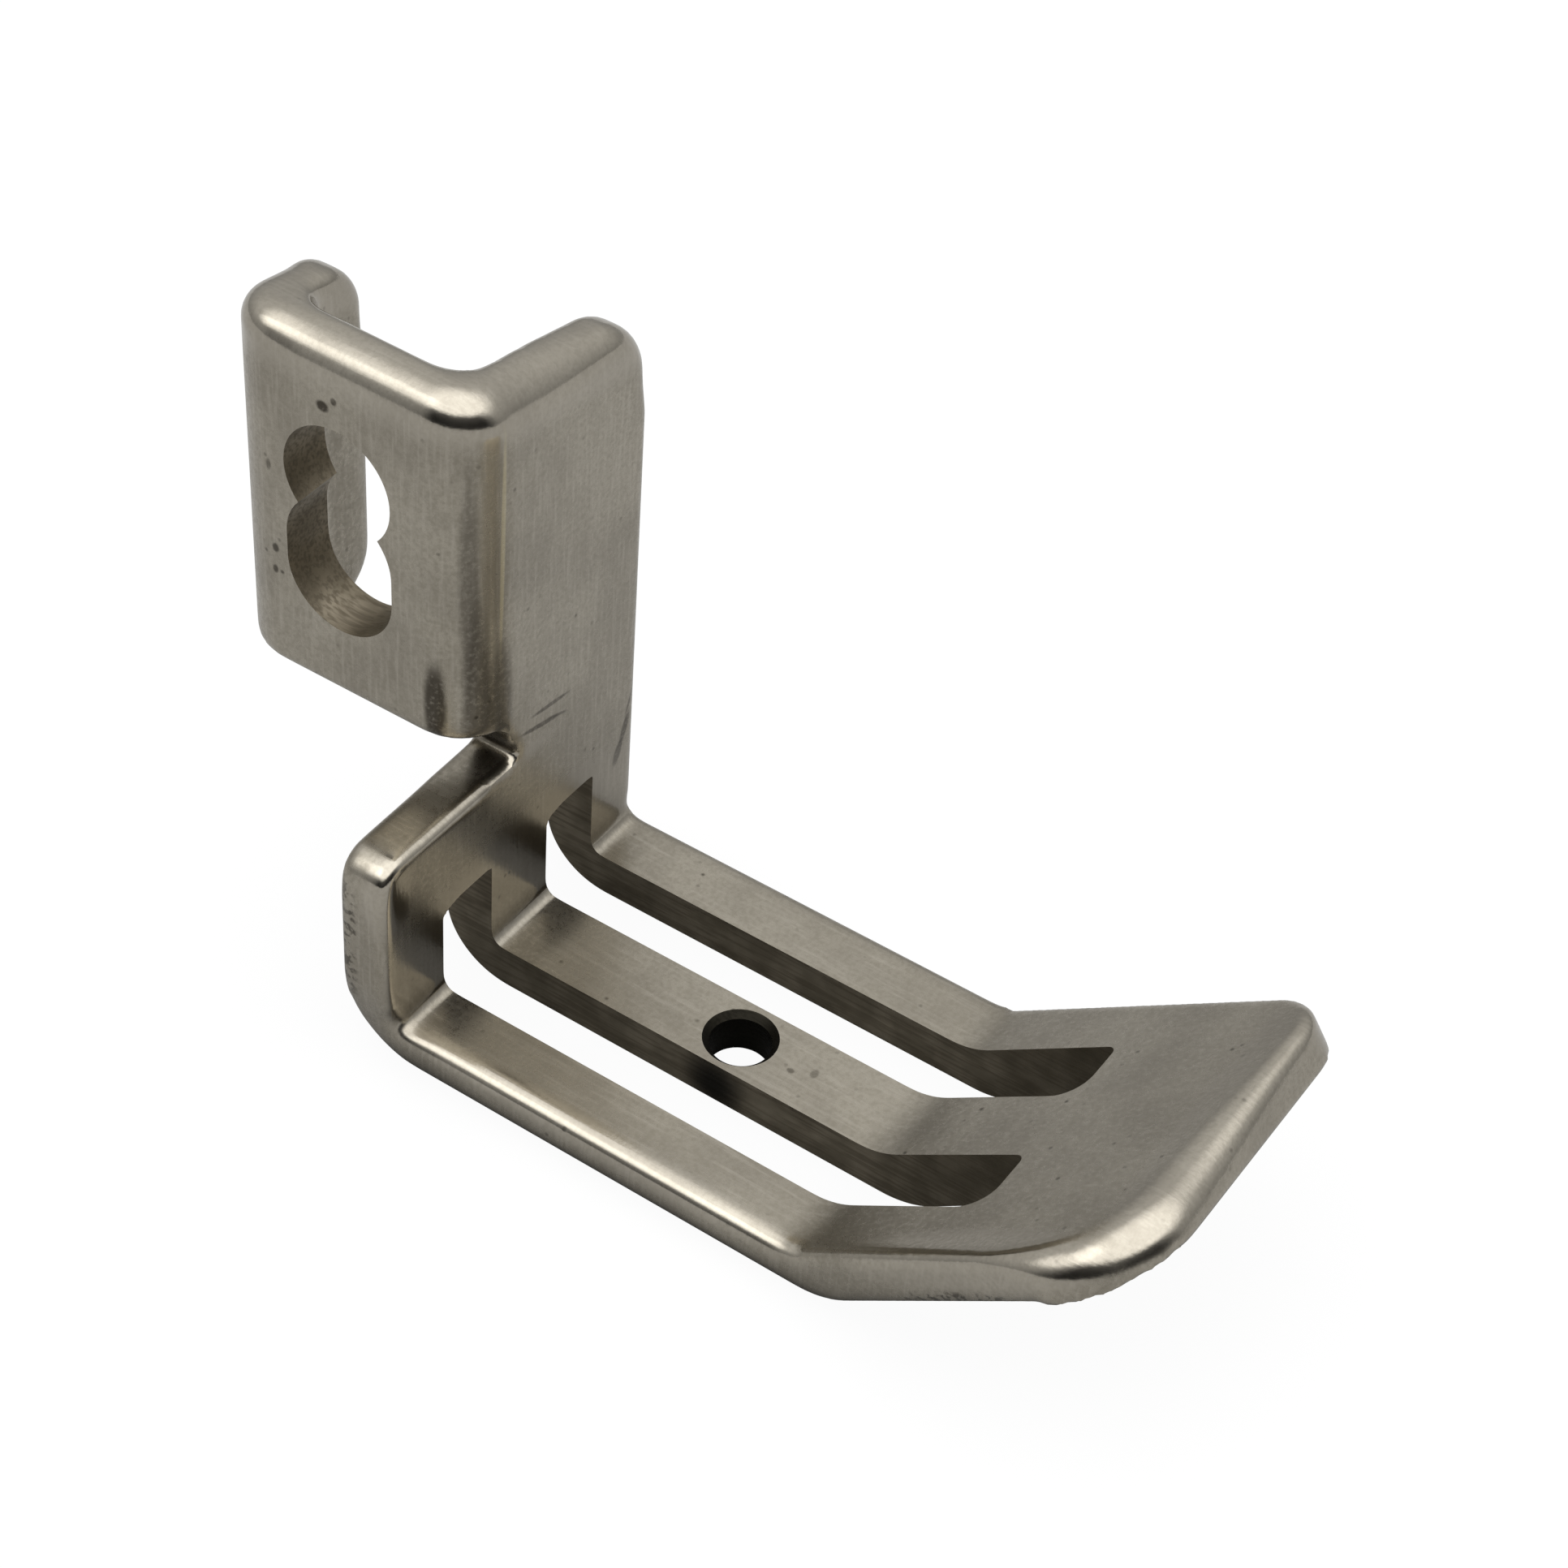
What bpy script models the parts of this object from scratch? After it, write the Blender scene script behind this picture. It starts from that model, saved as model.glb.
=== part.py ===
"""Outer presser foot of a twin-needle walking-foot sewing machine.

One piece of plated steel: a sole with three tines and a turned-up toe, a heel plate that rises from
the sole, and a U-shaped clamp that grips the machine's presser bar from the side.

X runs across the foot, Y from the toe to the clamp, Z up from the sole. While it is modelled, y = 0
is the heel's front face; the finished foot is then moved so that the origin is on the underside of
the middle tine, on the foot's centre line.
"""
import math

import bmesh
import bpy
from mathutils import Matrix, Vector

MM = 0.001

# ---- driving dimensions, in metres ---------------------------------------------------------------
NEEDLE_GAUGE = 6.4 * MM          # between the middles of the two needle slots
SLOT_WIDTH = 2.96 * MM
FOOT_WIDTH = 15.1 * MM
SOLE_THICKNESS = 1.85 * MM       # tines and toe
TINE_LENGTH = 17.6 * MM          # heel's front face to the crease where the toe turns up
TOE_LENGTH = 14.6 * MM           # along the slope
BELLY_SETBACK = 1.5 * MM         # the crease on the underside is this much nearer the tip
TOE_ANGLE = math.radians(35.2)
TOE_LEFT_CORNER = 4.2 * MM       # corner radii of the toe, -X side and +X side
TOE_RIGHT_CORNER = 2.2 * MM
TOE_CREASE_RADIUS = 3.0 * MM     # upper side of the crease
TOE_BELLY_RADIUS = 3.0 * MM      # underside of the crease
WALL = 2.15 * MM                 # heel, shank and clamp walls
HEEL_CREASE_RADIUS = 0.5 * MM    # inner corner between the tines and the heel
HEEL_BEND_RADIUS = 2.9 * MM      # outer corner between the sole and the heel
HEEL_FLARE = 0.6 * MM            # how far the heel stands out past the sole on its -X side
HEEL_FLARE_HEIGHT = 4.0 * MM     # where it stands out fully
SHOULDER_HEIGHT = 10.15 * MM     # top of the wide part of the heel
SHOULDER_CORNER = 1.6 * MM
SLOT_RISE = 5.9 * MM             # how far the needle slots run up the heel
SLOT_TOE_RUN = 6.95 * MM         # how far they run up the toe
SLOT_ROUND_CORNER = 1.25 * MM    # corner on the -X side of each slot end
SLOT_TIGHT_CORNER = 0.3 * MM     # corner on the +X side
HOLE_DIAMETER = 2.4 * MM         # small hole in the middle tine
HOLE_CHAMFER = 0.2 * MM
HOLE_FROM_HEEL = 10.4 * MM
BAR_GAP = 7.0 * MM               # between the clamp's front and rear walls, for the presser bar
CLAMP_TOP = 27.35 * MM           # at the side wall's outer face, above the heel's front face
CLAMP_TOP_FALL = 0.17            # the rim drops this much for each unit towards +X
CLAMP_TOP_RISE = 0.02            # and rises this much for each unit towards +Y
CLAMP_BOTTOM = 12.05 * MM
CLAMP_SIDE_X = -2.9 * MM         # outer face of the clamp's side wall
CLAMP_OUTER_RADIUS = 2.3 * MM
CLAMP_INNER_RADIUS = 1.2 * MM
FRONT_WALL_CORNER = 2.9 * MM     # upper +X corner
REAR_WALL_LENGTH = 5.75 * MM     # from the side wall's outer face
REAR_WALL_CORNER = 2.2 * MM      # upper and lower +X corners
NOTCH_X = 0.0 * MM               # foot of the notch between the heel's shoulder and the clamp
NOTCH_LEAN = 0.9 * MM            # how far its edge leans out on the way up to the clamp
SCREW_SLOT_RADIUS = 2.38 * MM
SCREW_SLOT_FROM_FRONT = 6.0 * MM
SCREW_SLOT_LOW = 17.5 * MM       # lower end's centre above the sole
SCREW_SLOT_LENGTH = 1.05 * MM    # between the slot's two centres
SCREW_HOLE_PITCH = 3.15 * MM     # from the slot's upper centre up to the round hole's
SOLE_EDGE_RADIUS = 0.6 * MM      # rounded outer edges of toe and tines
WALL_EDGE_RADIUS = 0.65 * MM     # the same for heel, shank and clamp
ORIGIN_FROM_HEEL = 5.0 * MM      # the origin is on the sole, this far in front of the heel

# ---- making sizes --------------------------------------------------------------------------------
MERGE = 0.001 * MM               # corners closer than this are one corner
OVERSHOOT = 3.0 * MM             # how far a cutter runs past what it cuts
OVERLAP = 1.5 * MM               # how far joined blocks reach into each other
TUCK = 0.3 * MM                  # how far a block's corner is hidden inside its neighbour
ARC_STEP = math.radians(15.0)
ROUND_STEP = math.radians(30.0)  # the same for a rounded edge
SHARP_FROM = math.radians(35.0)  # edges sharper than this stay sharp when shaded

# ---- what follows from the sizes -----------------------------------------------------------------
HALF_WIDTH = FOOT_WIDTH / 2
CLAMP_DEPTH = BAR_GAP + 2 * WALL
UP_TOE = Vector((0.0, -math.cos(TOE_ANGLE), math.sin(TOE_ANGLE)))      # along the toe's slope
OFF_TOE = Vector((0.0, math.sin(TOE_ANGLE), math.cos(TOE_ANGLE)))      # out of its upper face
TOE_CREASE = Vector((0.0, -TINE_LENGTH, SOLE_THICKNESS))
TIP = TOE_CREASE + TOE_LENGTH * UP_TOE
TIP_BELOW = TIP - SOLE_THICKNESS * OFF_TOE
BELLY_LENGTH = TINE_LENGTH + BELLY_SETBACK
BELLY_ANGLE = math.atan2(TIP_BELOW.z, -BELLY_LENGTH - TIP_BELOW.y)     # the toe is thickest at the crease
ALONG_Y = Vector((0.0, 1.0, 0.0))
RIGHT = math.pi / 2

# Each block is an outline drawn in a plane and pushed along the third axis.
FROM_SIDE = Matrix(((0, 0, 1, 0), (1, 0, 0, 0), (0, 1, 0, 0), (0, 0, 0, 1)))     # (y, z), pushed along X
FROM_FRONT = Matrix(((1, 0, 0, 0), (0, 0, 1, 0), (0, 1, 0, 0), (0, 0, 0, 1)))    # (x, z), pushed along Y
FROM_ABOVE = Matrix.Identity(4)                                                  # (x, y), pushed along Z


def arc(centre, radius, start, end):
    """Points along an arc, both ends included; angles in radians."""
    steps = max(2, math.ceil(abs(end - start) / ARC_STEP - 0.001))
    angles = [start + (end - start) * i / steps for i in range(steps + 1)]
    return [(centre[0] + radius * math.cos(a), centre[1] + radius * math.sin(a)) for a in angles]


def block(name, outline, view, start, depth):
    """A closed block, from start to start + depth along the axis that the view looks along."""
    mesh = bmesh.new()
    face = mesh.faces.new([mesh.verts.new((u, v, start)) for u, v in outline])
    pushed = bmesh.ops.extrude_face_region(mesh, geom=[face])
    moved = [item for item in pushed["geom"] if isinstance(item, bmesh.types.BMVert)]
    bmesh.ops.translate(mesh, verts=moved, vec=(0.0, 0.0, depth))
    bmesh.ops.remove_doubles(mesh, verts=mesh.verts, dist=MERGE)
    bmesh.ops.transform(mesh, matrix=view, verts=mesh.verts)
    bmesh.ops.recalc_face_normals(mesh, faces=mesh.faces)
    data = bpy.data.meshes.new(name)
    mesh.to_mesh(data)
    mesh.free()
    made = bpy.data.objects.new(name, data)
    bpy.context.scene.collection.objects.link(made)
    return made


def parallel(edge, direction):
    """True where the edge runs along the direction."""
    run = (edge.verts[1].co - edge.verts[0].co).normalized()
    return abs(run.dot(direction)) > 0.999


def bevelled(piece, radius, step, chosen):
    """Round off the edges for which chosen(edge) is true, a facet for each step of angle."""
    mesh = bmesh.new()
    mesh.from_mesh(piece.data)
    edges = [edge for edge in mesh.edges if chosen(edge)]
    bmesh.ops.bevel(mesh, geom=edges, offset=radius, offset_type="OFFSET", profile=0.5,
                    segments=max(2, round(RIGHT / step)), affect="EDGES", material=-1)
    mesh.to_mesh(piece.data)
    mesh.free()


def corner(edge):
    """True where two faces meet at a real corner, not along a curved wall."""
    return edge.calc_face_angle(0.0) > SHARP_FROM


def combine(piece, name, tools, operation):
    """Join the tools to the piece or cut them away, all in one go; they aren't part of the foot."""
    group = bpy.data.collections.new(name)
    bpy.context.scene.collection.children.link(group)
    for tool in tools:
        bpy.context.scene.collection.objects.unlink(tool)
        group.objects.link(tool)
        tool.hide_render = True
        tool.display_type = "WIRE"
    boolean = piece.modifiers.new(name, "BOOLEAN")
    boolean.operation = operation
    boolean.solver = "EXACT"
    boolean.operand_type = "COLLECTION"
    boolean.collection = group


def make_sole():
    """Toe, tines and the bend up into the heel, in one strip drawn from the side."""
    crease = (-TINE_LENGTH + TOE_CREASE_RADIUS * math.tan(TOE_ANGLE / 2), SOLE_THICKNESS + TOE_CREASE_RADIUS)
    belly = (-BELLY_LENGTH + TOE_BELLY_RADIUS * math.tan(BELLY_ANGLE / 2), TOE_BELLY_RADIUS)
    inside = (-HEEL_CREASE_RADIUS, SOLE_THICKNESS + HEEL_CREASE_RADIUS)
    bend = (WALL - HEEL_BEND_RADIUS, HEEL_BEND_RADIUS)
    top = HEEL_BEND_RADIUS + OVERLAP
    outline = [(0.0, top)]
    outline += arc(inside, HEEL_CREASE_RADIUS, 0.0, -RIGHT)
    outline += arc(crease, TOE_CREASE_RADIUS, -RIGHT, -RIGHT - TOE_ANGLE)
    outline += [tuple(TIP.yz), tuple(TIP_BELOW.yz)]
    outline += arc(belly, TOE_BELLY_RADIUS, -RIGHT - BELLY_ANGLE, -RIGHT)
    outline += arc(bend, HEEL_BEND_RADIUS, -RIGHT, 0.0)
    outline += [(WALL, top)]
    sole = block("presser_foot", outline, FROM_SIDE, -HALF_WIDTH, FOOT_WIDTH)

    def toe_corner(edge, side):
        place = edge.verts[0].co
        return parallel(edge, OFF_TOE) and place.y < -TINE_LENGTH and place.x * side > 0

    def rim(edge):
        return corner(edge) and min(vert.co.z for vert in edge.verts) < top - OVERLAP / 2

    bevelled(sole, TOE_LEFT_CORNER, ARC_STEP, lambda edge: toe_corner(edge, -1))
    bevelled(sole, TOE_RIGHT_CORNER, ARC_STEP, lambda edge: toe_corner(edge, 1))
    bevelled(sole, SOLE_EDGE_RADIUS, ROUND_STEP, rim)
    return sole


def make_heel():
    """The upright plate: wide heel, notch and shank, drawn from the front."""
    low = HEEL_BEND_RADIUS
    high = CLAMP_BOTTOM + OVERLAP
    notch_top = NOTCH_X - NOTCH_LEAN
    widest = -HALF_WIDTH - HEEL_FLARE
    shoulder = (widest + SHOULDER_CORNER, SHOULDER_HEIGHT - SHOULDER_CORNER)
    outline = [(HALF_WIDTH, low), (HALF_WIDTH, high), (notch_top, high), (notch_top, CLAMP_BOTTOM),
               (NOTCH_X, SHOULDER_HEIGHT)]
    outline += arc(shoulder, SHOULDER_CORNER, RIGHT, 2 * RIGHT)
    outline += [(widest, HEEL_FLARE_HEIGHT), (-HALF_WIDTH + TUCK, low)]
    heel = block("heel", outline, FROM_FRONT, 0.0, WALL)

    def outer(edge):
        ends = [vert.co for vert in edge.verts]
        shoulder_side = all(end.x <= NOTCH_X and end.z <= SHOULDER_HEIGHT + TUCK for end in ends)
        shank_side = all(end.x > HALF_WIDTH - TUCK for end in ends)
        return corner(edge) and not parallel(edge, ALONG_Y) and (shoulder_side or shank_side)

    bevelled(heel, WALL_EDGE_RADIUS, ROUND_STEP, outer)
    return heel


def make_clamp():
    """The U that grips the presser bar: front wall, side wall and a shorter rear wall."""
    outer, inner, back = CLAMP_OUTER_RADIUS, CLAMP_INNER_RADIUS, CLAMP_DEPTH
    inside_x = CLAMP_SIDE_X + WALL
    rear_end = CLAMP_SIDE_X + REAR_WALL_LENGTH
    outline = [(HALF_WIDTH, 0.0)]
    outline += arc((CLAMP_SIDE_X + outer, outer), outer, -RIGHT, -2 * RIGHT)
    outline += arc((CLAMP_SIDE_X + outer, back - outer), outer, 2 * RIGHT, RIGHT)
    outline += [(rear_end, back), (rear_end, back - WALL)]
    outline += arc((inside_x + inner, back - WALL - inner), inner, RIGHT, 2 * RIGHT)
    outline += arc((inside_x + inner, WALL + inner), inner, 2 * RIGHT, 3 * RIGHT)
    outline += [(HALF_WIDTH, WALL)]
    clamp = block("clamp", outline, FROM_ABOVE, CLAMP_BOTTOM, CLAMP_TOP - CLAMP_BOTTOM)
    for vert in clamp.data.vertices:
        if vert.co.z > (CLAMP_TOP + CLAMP_BOTTOM) / 2:
            vert.co.z += CLAMP_TOP_RISE * vert.co.y - CLAMP_TOP_FALL * (vert.co.x - CLAMP_SIDE_X)

    def wall_end(edge, at_rear):
        place = edge.verts[0].co
        return parallel(edge, ALONG_Y) and place.x > 0 and (place.y > back / 2) == at_rear

    straight = rear_end - inside_x - inner
    bevelled(clamp, min(REAR_WALL_CORNER, straight - TUCK / 2), ARC_STEP, lambda edge: wall_end(edge, True))
    bevelled(clamp, FRONT_WALL_CORNER, ARC_STEP,
             lambda edge: wall_end(edge, False) and edge.verts[0].co.z > CLAMP_BOTTOM + OVERLAP)
    bevelled(clamp, WALL_EDGE_RADIUS, ROUND_STEP, corner)
    return clamp


def make_slot_cutter(name, middle_x):
    """A needle slot, cut through heel, tines and toe in one run."""
    stop = TOE_CREASE + SLOT_TOE_RUN * UP_TOE
    above = stop + OVERSHOOT * OFF_TOE
    below = stop - (SOLE_THICKNESS + OVERSHOOT) * OFF_TOE
    behind = WALL + OVERSHOOT
    outline = [(behind, -OVERSHOOT), (behind, SLOT_RISE), (-OVERSHOOT, SLOT_RISE), tuple(above.yz),
               tuple(below.yz), (-TINE_LENGTH, -OVERSHOOT)]
    cutter = block(name, outline, FROM_SIDE, middle_x - SLOT_WIDTH / 2, SLOT_WIDTH)

    def slot_end(edge, side):
        place = edge.verts[0].co
        at_heel = parallel(edge, ALONG_Y) and place.z > 0
        at_toe = parallel(edge, OFF_TOE) and place.y < -TINE_LENGTH
        return (place.x - middle_x) * side > 0 and (at_heel or at_toe)

    bevelled(cutter, SLOT_ROUND_CORNER, ARC_STEP, lambda edge: slot_end(edge, -1))
    bevelled(cutter, SLOT_TIGHT_CORNER, ROUND_STEP, lambda edge: slot_end(edge, 1))
    return cutter


def make_screw_cutter():
    """The clamp screw's opening in the side wall: a short upright slot that meets a round hole."""
    radius, middle_y = SCREW_SLOT_RADIUS, SCREW_SLOT_FROM_FRONT
    slot_top = SCREW_SLOT_LOW + SCREW_SLOT_LENGTH
    hole = slot_top + SCREW_HOLE_PITCH
    waist = math.asin(SCREW_HOLE_PITCH / 2 / radius)
    outline = arc((middle_y, hole), radius, -waist, 2 * RIGHT + waist)
    outline += arc((middle_y, slot_top), radius, 2 * RIGHT - waist, 2 * RIGHT)[1:]
    outline += arc((middle_y, SCREW_SLOT_LOW), radius, 2 * RIGHT, 4 * RIGHT)
    outline += arc((middle_y, slot_top), radius, 0.0, waist)[:-1]
    return block("screw_cutter", outline, FROM_SIDE, CLAMP_SIDE_X - OVERSHOOT, WALL + 2 * OVERSHOOT)


def make_hole_cutter():
    """The small hole in the middle tine, with a chamfer at its upper rim."""
    radius = HOLE_DIAMETER / 2
    turns = round(2 * math.pi / ARC_STEP)
    heights = [(-OVERSHOOT, radius), (SOLE_THICKNESS - HOLE_CHAMFER, radius),
               (SOLE_THICKNESS + OVERSHOOT, radius + HOLE_CHAMFER + OVERSHOOT)]
    mesh = bmesh.new()
    profile = [mesh.verts.new((0.0, 0.0, heights[0][0]))]
    profile += [mesh.verts.new((r, 0.0, z)) for z, r in heights]
    profile += [mesh.verts.new((0.0, 0.0, heights[-1][0]))]
    lines = [mesh.edges.new(pair) for pair in zip(profile, profile[1:])]
    bmesh.ops.spin(mesh, geom=profile + lines, cent=(0, 0, 0), axis=(0, 0, 1), angle=2 * math.pi,
                   steps=turns, use_merge=True)
    bmesh.ops.remove_doubles(mesh, verts=mesh.verts, dist=MERGE)
    bmesh.ops.translate(mesh, verts=mesh.verts, vec=(0.0, -HOLE_FROM_HEEL, 0.0))
    bmesh.ops.recalc_face_normals(mesh, faces=mesh.faces)
    data = bpy.data.meshes.new("hole_cutter")
    mesh.to_mesh(data)
    mesh.free()
    cutter = bpy.data.objects.new("hole_cutter", data)
    bpy.context.scene.collection.objects.link(cutter)
    return cutter


def satin_nickel():
    """Satin nickel plate on steel: a warm light grey metal with a soft gloss."""
    material = bpy.data.materials.new("satin_nickel")
    material.use_nodes = True
    shader = material.node_tree.nodes["Principled BSDF"]
    shader.inputs["Base Color"].default_value = (0.42, 0.39, 0.33, 1.0)
    shader.inputs["Metallic"].default_value = 1.0
    shader.inputs["Roughness"].default_value = 0.36
    return material


def build():
    """The whole foot: join the blocks, then mill the openings."""
    for old in list(bpy.data.objects):
        bpy.data.objects.remove(old, do_unlink=True)

    foot = make_sole()
    combine(foot, "joined", [make_heel(), make_clamp()], "UNION")
    left = make_slot_cutter("left_slot_cutter", -NEEDLE_GAUGE / 2)
    right = make_slot_cutter("right_slot_cutter", NEEDLE_GAUGE / 2)
    combine(foot, "milled", [left, right, make_screw_cutter(), make_hole_cutter()], "DIFFERENCE")

    for piece in bpy.data.objects:
        piece.data.transform(Matrix.Translation((0.0, ORIGIN_FROM_HEEL, 0.0)))
    foot.data.materials.append(satin_nickel())
    foot.data.shade_smooth()
    foot.data.set_sharp_from_angle(angle=SHARP_FROM)


build()
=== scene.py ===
# %% [markdown]
# # A presser foot for a twin-needle sewing machine
#
# This foot holds the cloth down while two needles stitch side by side. It is one casting of steel:
# a flat sole with two needle slots, a toe turned up so that the cloth slides under it, an upright heel,
# and a U-shaped clamp that a screw pulls against the machine's presser bar. After casting, its openings
# are milled, it is tumbled until the edges are soft, and it is plated with satin nickel.
#
# The lesson follows the same order as the workshop: cast a blank, mill it, tumble it, plate it.
# The frame gives the finished sizes, so it is loaded first and measured.

# %% Load the frame and measure it
import math
from functools import partial

import bmesh
import bpy
from mathutils import Euler, Matrix, Vector


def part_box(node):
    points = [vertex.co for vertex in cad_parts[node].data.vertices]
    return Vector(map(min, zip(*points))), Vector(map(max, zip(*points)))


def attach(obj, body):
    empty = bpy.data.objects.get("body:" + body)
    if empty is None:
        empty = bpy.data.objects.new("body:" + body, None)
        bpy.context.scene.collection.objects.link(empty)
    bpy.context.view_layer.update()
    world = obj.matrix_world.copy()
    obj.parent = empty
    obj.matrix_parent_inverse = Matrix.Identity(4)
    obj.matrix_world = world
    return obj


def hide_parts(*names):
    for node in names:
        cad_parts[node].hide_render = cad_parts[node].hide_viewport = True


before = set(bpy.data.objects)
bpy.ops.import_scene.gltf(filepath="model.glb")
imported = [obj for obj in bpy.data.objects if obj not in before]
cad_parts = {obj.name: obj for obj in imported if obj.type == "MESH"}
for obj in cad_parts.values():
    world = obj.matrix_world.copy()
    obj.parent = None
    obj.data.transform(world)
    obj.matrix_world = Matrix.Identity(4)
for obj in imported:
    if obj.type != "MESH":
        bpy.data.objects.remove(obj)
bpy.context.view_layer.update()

MM = 0.001
LOW, HIGH = (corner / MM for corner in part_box("presser_foot"))
print("foot measures", [round(side, 2) for side in HIGH - LOW], "mm")

# %% [markdown]
# ## Sizes
#
# All lengths below are in millimetres. The foot is modelled with y = 0 on the heel's front face, which is
# where the machinist would measure from, and moved to the frame's place at the end. What the frame
# already says (the sole's width, the heel's place, the bulge) is taken from it, not typed again. The
# shoulder's side, where x is below 0, is called the near side and the other the far side.

# %% Sizes of the sole and toe
GAUGE = 6.4                  # between the two needle slots
SLOT = 2.96                  # width of a slot
SOLE = 1.85                  # thickness of tines and toe
WALL = 2.15                  # thickness of heel and clamp
BAR_GAP = 7.0                # room for the presser bar
TINES = 17.6                 # heel to the crease in the upper face
BELLY = 19.1                 # heel to the crease underneath
TOE = 14.6                   # length of the slope
TOE_ANGLE = math.radians(35.2)
HALF = HIGH.x                # half the sole's width
HEEL_Y = HIGH.y - BAR_GAP - 2 * WALL     # the heel's front face in the frame

SLOPE = Vector((0, -math.cos(TOE_ANGLE), math.sin(TOE_ANGLE)))     # up the toe
OUT = Vector((0, math.sin(TOE_ANGLE), math.cos(TOE_ANGLE)))        # out of its upper face
CREASE = Vector((0, -TINES, SOLE))
TIP = CREASE + TOE * SLOPE
print("toe's tip", [round(c, 2) for c in TIP], "heel at", round(HEEL_Y, 2))

# %% Sizes of the heel and clamp
SHOULDER = 10.15             # height of the heel's wide part
CLAMP_LOW = 12.05
CLAMP_LEFT = -2.9            # outer face of the clamp's side wall
CLAMP_TOP = 27.35            # at that face
RIM_FALL = 0.157             # how the rim drops towards the open side
RIM_RISE = 0.025             # and rises towards the back
REAR_END = 2.85              # the rear wall stops here
NOTCH_LEAN = 0.9             # the notch's edge leans out by this much
LOBE = 2.38                  # radius of the screw opening's round ends
LOBE_Y = 6.0
LOBES = (17.5, 18.55, 21.7)  # heights of its three centres
HOLE_Y = -10.4               # the small hole in the middle tine
HOLE = 1.2                   # its radius

# %% [markdown]
# ## Three materials
#
# The outside is tumbled and plated. The milled walls were plated too, but a brush or tumbler never reached
# them, so they stay rough and dark. Cutters carry the milled finish, and the Boolean hands it to every wall
# that they cut. Along the milled edges a painted glint makes the plate look bright. The shaders are built
# further down.

# %% Name the materials
nickel = bpy.data.materials.new("satin_nickel_plate")
milled = bpy.data.materials.new("milled_nickel_plate")
# painted glint: the broken edges get a brighter colour than the plate
arris_glint = bpy.data.materials.new("painted_glint_nickel_plate")
print("finishes:", nickel.name, milled.name, arris_glint.name)

# %% [markdown]
# ## Blocks with rounded corners
#
# Every wall of the foot is a flat outline with some thickness. So each block starts as a handful of
# corner points, becomes a face, and `extrude_face_region` gives it depth. The round corners come from
# `bevel` on the edges that run along the depth. For a corner that turns by some angle, a true radius
# needs an offset of radius times the tangent of half that angle; the helper works that out.

# %% Make a block
FROM_SIDE = Matrix(((0, 0, 1, 0), (1, 0, 0, 0), (0, 1, 0, 0), (0, 0, 0, 1)))     # (y, z) drawn, X deep
FROM_FRONT = Matrix(((1, 0, 0, 0), (0, 0, 1, 0), (0, 1, 0, 0), (0, 0, 0, 1)))    # (x, z) drawn, Y deep
FROM_ABOVE = Matrix.Identity(4)                                                  # (x, y) drawn, Z deep
FACET = math.radians(7.5)    # a round corner turns by this much at each step


def add_object(name, mesh):
    """Put a finished bmesh into the scene as an object."""
    bmesh.ops.recalc_face_normals(mesh, faces=mesh.faces)
    data = bpy.data.meshes.new(name)
    mesh.to_mesh(data)
    mesh.free()
    piece = bpy.data.objects.new(name, data)
    bpy.context.scene.collection.objects.link(piece)
    return piece


def take(piece):
    """A copy of a piece's mesh to work on."""
    mesh = bmesh.new()
    mesh.from_mesh(piece.data)
    return mesh


def put_back(mesh, piece):
    """Give the piece its worked mesh."""
    mesh.to_mesh(piece.data)
    mesh.free()


def block(name, corners, view, start, depth, rounds=None):
    """A block from corner points; rounds gives the radius of a corner by its number."""
    mesh = bmesh.new()
    drawn = [mesh.verts.new((u, v, start)) for u, v in corners]
    pushed = bmesh.ops.extrude_face_region(mesh, geom=[mesh.faces.new(drawn)])
    moved = [item for item in pushed["geom"] if isinstance(item, bmesh.types.BMVert)]
    bmesh.ops.translate(mesh, verts=moved, vec=(0, 0, depth))
    bmesh.ops.recalc_face_normals(mesh, faces=mesh.faces)
    lines = [next(e for e in vert.link_edges if e.other_vert(vert) not in drawn) for vert in drawn]
    for number, radius in (rounds or {}).items():
        turn = lines[number].calc_face_angle()
        bmesh.ops.bevel(mesh, geom=[lines[number]], offset=radius * math.tan(turn / 2),
                        offset_type="OFFSET", segments=math.ceil(turn / FACET), profile=0.5,
                        affect="EDGES", material=-1)
    bmesh.ops.transform(mesh, matrix=view, verts=mesh.verts)
    return add_object(name, mesh)


print("blocks can be drawn from the side, the front or above, round corners in steps of",
      round(math.degrees(FACET), 1), "degrees")

# %% [markdown]
# ## Soft edges of different sizes
#
# The tumbler rounds exposed edges more than sheltered ones: the near tine's edge ends up with a radius of
# 0.7 mm, the far edges of the sole with less than half of that. A Bevel modifier limited by edge weight
# can do all of them in one go. Each edge gets a weight, its own radius over the largest, and the modifier
# blends neighbouring radii where they meet.

# %% Round the edges and keep the result
SHARP = math.radians(35)     # an edge that turns by more is a sharp one
EDGE = 0.45                  # the usual soft edge
CLOSE = 0.01                 # slack when places are compared


def settle(piece):
    """Apply the piece's modifiers to its mesh."""
    graph = bpy.context.evaluated_depsgraph_get()
    done = bpy.data.meshes.new_from_object(piece.evaluated_get(graph))
    piece.modifiers.clear()
    piece.data = done


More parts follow.
